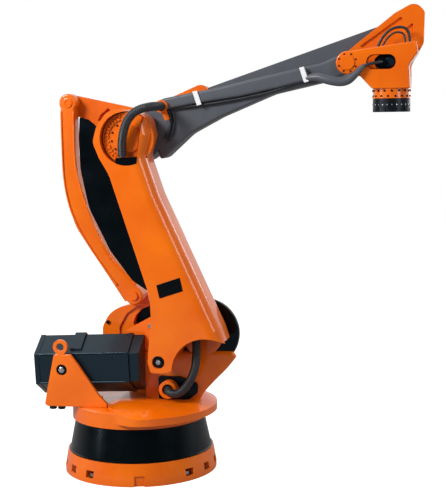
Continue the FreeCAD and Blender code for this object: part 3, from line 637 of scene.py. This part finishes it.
def add_wrist_cables():
    run = along_forearm([(222, -90, 98), (440, -92, 52), (676, -92, 10), (914, -92, -20), (1040, -100, -4),
                         (1130, -122, -8), (1200, -134, -62), (1285, -136, -104), (1350, -136, -84),
                         (1420, -134, -46)])
    cable("sleeve_cable", run[:5], 9, "forearm")
    cable("wrist_cable", run[4:] + [(1478, -128, 2446), (1500, -108, 2449)], 9, "forearm", "wrist")
    add_wrist_boot(run[4:])
    cable("wrist_loop_outer", [(1462, 10, 2528), (1480, 8, 2582), (1545, 6, 2646), (1622, 4, 2650),
                               (1652, 2, 2606), (1650, 0, 2534)], 8, "wrist")
    cable("wrist_loop_inner", [(1490, -14, 2530), (1505, -16, 2570), (1556, -18, 2618), (1606, -20, 2618),
                               (1626, -22, 2590), (1624, -22, 2536)], 6, "wrist")
    cable("elbow_bundle_near", [(236, -88, 2196), (246, -87, 2160), (252, -87, 2110), (236, -87, 2060),
                                (214, -87, 2026)], 7, "forearm")
    cable("elbow_bundle_far", [(252, -87, 2200), (268, -87, 2150), (270, -87, 2100), (258, -87, 2048),
                               (232, -87, 2010)], 7, "forearm")


def add_wrist_boot(route_mm):
    """Sleeve round the wrist cable, of radius 10.5 + 17 sin(pi s)^0.8 mm at share s of its length."""
    line, along = resample(spline_points("wrist_boot", route_mm), 6 * MM)
    share = along / along[-1]
    swell = 10.5 + 17 * np.sin(np.pi * share) ** 0.8
    boot = tube("wrist_boot", line, swell * MM, 20)
    boot.data.materials.append(CARBON)
    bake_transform(boot)


def turned(name, profile, places, axis, body, material, slot, around=24):
    finish(lathes(name, profile, places, axis, around), body, material, slot)


def outwards(places):
    """Directions from the tool's axis to places round it."""
    return [(p[0] - TOOL_X, p[1], 0.0) for p in places]


def add_base_pieces():
    angles = [math.radians(FLOOR_FIRST + 360 / FLOOR_HOLES * i) for i in range(FLOOR_HOLES)
              if i not in FLOOR_CLOSED]
    plate = [(FLOOR_CIRCLE_R * math.cos(a), FLOOR_CIRCLE_R * math.sin(a), FLOOR_PLATE) for a in angles]
    raised = [(x, y, z + WASHER_THICK) for x, y, z in plate]
    lip = [(393, 318), (401, 318), (403, 322), (401, 326), (393, 326), (393, 318)]
    bead = [(436, 131), (442, 133), (442, 138), (434, 142)]
    turned("floor_washers", washer(27, 10, WASHER_THICK), plate, UP, "base", OXIDE, "black_steel")
    turned("floor_bolt_heads", hex_head(19, 20), raised, UP, "base", ZINC, "bright_steel", 6)
    turned("cover_lip", lip, BASE_AXIS, UP, "base", BLACK, "black_enamel", 96)
    turned("cover_foot_bead", bead, BASE_AXIS, UP, "base", BLACK, "black_enamel", 96)


def add_column_pieces():
    turned("bracket_washer", washer(32.5, 15, 7), [(-406, -278, 652)], NEAR, "column", BLACK,
           "black_enamel", 40)
    turned("bracket_bolt_head", hex_head(19, 14), [(-406, -282, 652)], NEAR, "column", ZINC, "bright_steel", 6)
    turned("strip_bolt", cap_screw(15, 10), [(97, -80, 892)], NEAR, "column", ZINC, "bright_steel")
    turned("horn_bolt", cap_screw(12, 12), [(-224, 108, 880)], NEAR, "column", OXIDE, "black_steel")
    feet = [(-474, -262, 428), (-420, -262, 428)]
    turned("bracket_foot_bolts", cap_screw(23, 20), feet, DOWN, "column", OXIDE, "black_steel")
    cap = [(ROD_PIN[0], 0, ROD_PIN[1])]
    turned("rod_top_cap", cap_screw(30, 7), cap, NEAR, "rear_rod", ORANGE, "orange_enamel", 32)
    rim = [(203, 0), (211, 0), (212, 1.5), (211, 3), (203, 3)]
    turned("drum_rim", rim, [(SHOULDER[0], -50, SHOULDER[1])], NEAR, "column", OXIDE, "black_steel", 96)


def add_wrist_pieces():
    pivot = (WRIST[0], WRIST_FACE, WRIST[1])
    pivot_cap = [(0, 7), (40, 7), (43, 4), (43, 0)]
    turned("wrist_pivot_cap", pivot_cap, [pivot], NEAR, "wrist", ORANGE, "orange_enamel", 40)
    turned("wrist_pivot_screws", cap_screw(5, 5), ring_of(pivot, 52, NEAR, 8, 20), NEAR, "wrist", OXIDE,
           "black_steel", 12)
    places = []
    for height, start in ((2285, 4), (2254, 15)):
        places.extend(ring_of((TOOL_X, 0, height), 105, UP, 16, start))
    turned("collar_screws", cap_screw(6.5, 6), places, outwards(places), "wrist", OXIDE, "black_steel", 12)
    bead = [(105, 2296), (110, 2297), (111, 2300), (110, 2303), (105, 2304)]
    turned("collar_bead", bead, TOOL_AXIS, UP, "wrist", ORANGE, "orange_enamel", 72)
    step = [(105, 2241.5), (109, 2242), (109, 2250), (105, 2251)]
    turned("collar_step", step, TOOL_AXIS, UP, "wrist", ORANGE, "orange_enamel", 72)
    pins = ring_of((TOOL_X, 0, 2205), 107, UP, 24, 5)
    pin = [(0, 0), (4.5, 0), (4.5, 2), (3.5, 3), (0, 3)]
    turned("flange_pins", pin, pins, outwards(pins), "tool", ZINC, "bright_steel", 10)


def add_elbow_pieces():
    face = (ELBOW[0], GEAR_COVER_FACE, ELBOW[1])
    relief = []
    for radius, count, start in ((134, 34, 3), (116, 28, 9)):
        relief.extend(p for p in ring_of(face, radius, NEAR, count, start) if in_recess(p))
    dot = [(0, 7), (4.5, 7), (6.5, 4), (7, 0)]
    turned("elbow_relief", dot, relief, NEAR, "link_arm", ORANGE, "orange_enamel", 12)
    screws = [p for p in ring_of(face, 96, NEAR, 12, 9) if in_recess(p)]
    turned("elbow_screws", cap_screw(6, 6), screws, NEAR, "link_arm", OXIDE, "black_steel", 12)
    lug_cap = [(0, 6), (11, 6), (14, 3), (14, 0)]
    turned("lug_cap", lug_cap, [LUG_FACE], NEAR, "link_arm", ZINC, "bright_steel")


def add_window_pieces():
    slot = stadium(1408.5, 1615.5, 2449, 41.5)
    finish(prism_wall("window_lining", slot, 3, -109, -43), "wrist", BLACK, "black_enamel")
    plug = [(0, 24), (20, 24), (24, 20), (24, 6), (33, 4), (33, 0)]
    turned("window_plug", plug, [(1545, -72, 2449)], NEAR, "wrist", MOTOR, "black_enamel", 32)


def prism_wall(name, outline_mm, inset_mm, y_near, y_far):
    """Thin wall on a closed outline in X and Z, between each p and p + inset (centre - p) / |centre - p|."""
    outline = np.asarray(outline_mm, float)
    inward = outline.mean(axis=0) - outline
    inner = outline + inset_mm * inward / np.linalg.norm(inward, axis=1)[:, None]
    loops = [(outline, y_near), (inner, y_near), (inner, y_far), (outline, y_far), (outline, y_near)]
    points = np.concatenate([np.insert(loop, 1, depth, axis=1) for loop, depth in loops]) * MM
    return add_mesh(name, points, grid_faces(len(loops), len(outline), True))


def stadium(x_low, x_high, z, radius, steps=14):
    """Outline of a slot: a half circle round each end."""
    angle = np.linspace(-np.pi / 2, np.pi / 2, steps)
    right = np.stack([x_high - radius + radius * np.cos(angle), z + radius * np.sin(angle)], axis=1)
    left = np.stack([x_low + radius - radius * np.cos(angle), z - radius * np.sin(angle)], axis=1)
    return np.concatenate([right, left])


def in_recess(place):
    """Whether a place on the elbow's face is clear of the casting's rib and of the hose's sleeve."""
    x = place[0] - ELBOW[0]
    z = place[2] - ELBOW[1]
    ahead = x * math.cos(LEAN) + z * math.sin(LEAN)
    rise = z * math.cos(LEAN) - x * math.sin(LEAN)
    return ahead < RIB_EDGE and rise > SLEEVE_TOP


def add_rod_rails():
    """Rounded rims along the rear rod's two long edges."""
    left = [(-128, -1, 1130), (-165, -1, 1168), (-384, -1, 1492), (-452, -1, 1732), (-457, -1, 2000),
            (-457, -1, 2196)]
    right = [(-8, -1, 1136), (-182, -1, 1310), (-298, -1, 1560), (-368, -1, 1804), (-382, -1, 1932),
             (-380, -1, 2196)]
    for name, route in (("rod_rail_left", left), ("rod_rail_right", right)):
        line, along = resample(spline_points(name, route), 10 * MM)
        piece = tube(name, line, np.full(len(line), ROD_RIM_R * MM), 12)
        finish(piece, "rear_rod", ORANGE, "orange_enamel")


add_camera()
add_studio()
add_hoses()
dress_castings()
add_wrist_cables()
add_base_pieces()
add_column_pieces()
add_wrist_pieces()
add_elbow_pieces()
add_window_pieces()
add_rod_rails()
